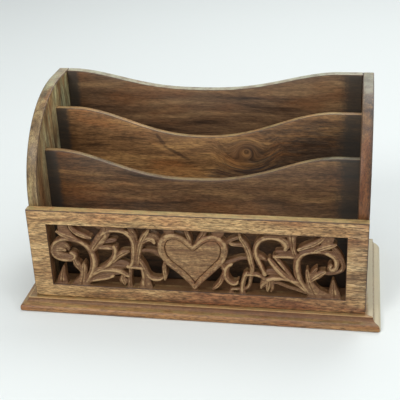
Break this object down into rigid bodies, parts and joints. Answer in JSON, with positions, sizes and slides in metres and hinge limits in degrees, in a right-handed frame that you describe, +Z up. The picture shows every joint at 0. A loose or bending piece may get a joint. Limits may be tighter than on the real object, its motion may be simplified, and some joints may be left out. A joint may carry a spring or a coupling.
{
  "type": "letter rack",
  "caption": "Wooden desktop letter rack: arched sides, dipped dividers and back, a moulded base, and a pierced front carved with a heart and scrolling vines.",
  "frame": {"origin": "centre of the bounding box on the underside of the base, where the rack stands", "axes": "+X to the right of someone who faces the carved front, +Y to the back, +Z up"},
  "size_m": [0.3322, 0.152, 0.1899],
  "materials": {
    "carved_wood": "waxed, satin, stained dark in the recesses",
    "dark_wood": "waxed, satin",
    "side_wood": "waxed, satin",
    "base_wood": "waxed, satin",
    "dowel_wood": "unfinished",
    "screw_steel": "plain"
  },
  "bodies": {
    "root": {"base_board": "base_wood", "front_panel": "carved_wood", "side_left": "side_wood", "side_right": "side_wood", "divider_front": "dark_wood", "divider_rear": "dark_wood", "back_panel": "dark_wood", "screw_side_left_1": "screw_steel", "screw_side_left_2": "screw_steel", "screw_side_left_3": "screw_steel", "screw_side_right_1": "screw_steel", "screw_side_right_2": "screw_steel", "screw_side_right_3": "screw_steel", "screw_front_panel_1": "screw_steel", "screw_front_panel_2": "screw_steel", "screw_front_panel_3": "screw_steel", "screw_back_panel_1": "screw_steel", "screw_back_panel_2": "screw_steel", "screw_back_panel_3": "screw_steel", "screw_divider_front_1": "screw_steel", "screw_divider_front_2": "screw_steel", "screw_divider_rear_1": "screw_steel", "screw_divider_rear_2": "screw_steel", "dowel_front_left_1": "dowel_wood", "dowel_front_left_2": "dowel_wood", "dowel_front_right_1": "dowel_wood", "dowel_front_right_2": "dowel_wood", "dowel_back_left_1": "dowel_wood", "dowel_back_left_2": "dowel_wood", "dowel_back_right_1": "dowel_wood", "dowel_back_right_2": "dowel_wood"}
  },
  "joints": []
}
